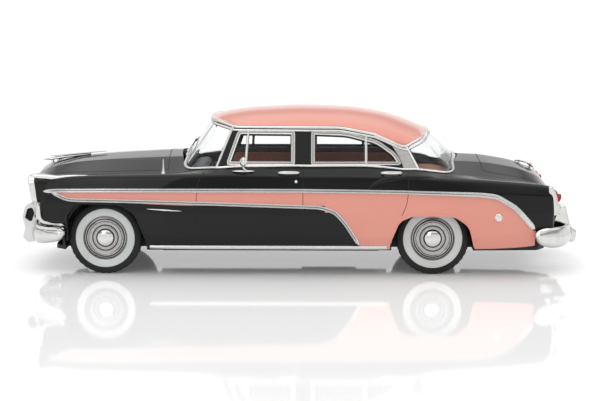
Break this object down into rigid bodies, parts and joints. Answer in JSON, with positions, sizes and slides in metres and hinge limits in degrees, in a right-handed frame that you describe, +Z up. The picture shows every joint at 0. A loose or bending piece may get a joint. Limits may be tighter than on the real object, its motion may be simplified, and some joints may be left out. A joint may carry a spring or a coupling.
{
  "type": "scale model car",
  "caption": "1:43 display model of a two-tone 1950s four-door family saloon, with chrome bumpers, window frames and side mouldings, clear windows, seats and rolling whitewall wheels.",
  "frame": {"origin": "on the floor under the middle of the model's box", "axes": "front bumper towards -X, +Y towards the model's right-hand side, +Z up; the wheels stand on Z = 0"},
  "size_m": [0.129, 0.0464, 0.0372],
  "materials": {
    "black_paint": "gloss",
    "salmon_paint": "gloss",
    "chrome_trim": "polished",
    "brushed_trim": "brushed",
    "clear_glazing": "gloss",
    "lamp_clear": "gloss",
    "lamp_red": "gloss",
    "interior_brown": "satin",
    "base_black": "matte",
    "tyre_black": "matte",
    "whitewall": "matte",
    "axle_steel": "satin"
  },
  "bodies": {
    "car": {"aerial": "chrome_trim", "base_plate": "base_black", "body_shell": "black_paint", "boot_handle": "chrome_trim", "dashboard": "interior_brown", "door_mirror": "chrome_trim", "exhaust": "brushed_trim", "front_bumper": "chrome_trim", "front_door_handle_left": "chrome_trim", "front_door_handle_right": "chrome_trim", "front_seat": "interior_brown", "front_wheel_wells": "base_black", "grille_surround": "chrome_trim", "grille_teeth": "chrome_trim", "headlamp_bezel_left": "chrome_trim", "headlamp_bezel_right": "chrome_trim", "headlamp_lens_left": "lamp_clear", "headlamp_lens_right": "lamp_clear", "hood_ornament": "chrome_trim", "interior_tub": "interior_brown", "parking_lamp_left": "lamp_clear", "parking_lamp_right": "lamp_clear", "rear_bumper": "chrome_trim", "rear_door_handle_left": "chrome_trim", "rear_door_handle_right": "chrome_trim", "rear_seat": "interior_brown", "rear_wheel_wells": "base_black", "rear_window": "clear_glazing", "reversing_lens_left": "lamp_clear", "reversing_lens_right": "lamp_clear", "roof_panel": "salmon_paint", "screw_posts": "base_black", "side_glass_left": "clear_glazing", "side_glass_right": "clear_glazing", "sill_trim_left": "chrome_trim", "sill_trim_right": "chrome_trim", "steering_wheel": "interior_brown", "sweep_panel_left": "salmon_paint", "sweep_panel_right": "salmon_paint", "sweep_trim_left": "chrome_trim", "sweep_trim_right": "chrome_trim", "tail_lamp_housing_left": "chrome_trim", "tail_lamp_housing_right": "chrome_trim", "tail_lens_left": "lamp_red", "tail_lens_right": "lamp_red", "window_frame_left": "chrome_trim", "window_frame_right": "chrome_trim", "window_pillars": "black_paint", "windscreen": "clear_glazing"},
    "front_wheels": {"front_axle": "axle_steel", "front_tyre_left": "tyre_black", "front_tyre_right": "tyre_black", "front_wheel_disc_left": "chrome_trim", "front_wheel_disc_right": "chrome_trim"},
    "rear_wheels": {"rear_axle": "axle_steel", "rear_tyre_left": "tyre_black", "rear_tyre_right": "tyre_black", "rear_wheel_disc_left": "chrome_trim", "rear_wheel_disc_right": "chrome_trim"}
  },
  "joints": [
    {"name": "front_axle_spin", "type": "hinge", "parent": "car", "child": "front_wheels", "pos_m": [-0.04435, 0, 0.0083], "axis": [0, 1, 0], "continuous": true},
    {"name": "rear_axle_spin", "type": "hinge", "parent": "car", "child": "rear_wheels", "pos_m": [0.03005, 0, 0.0083], "axis": [0, 1, 0], "continuous": true}
  ]
}
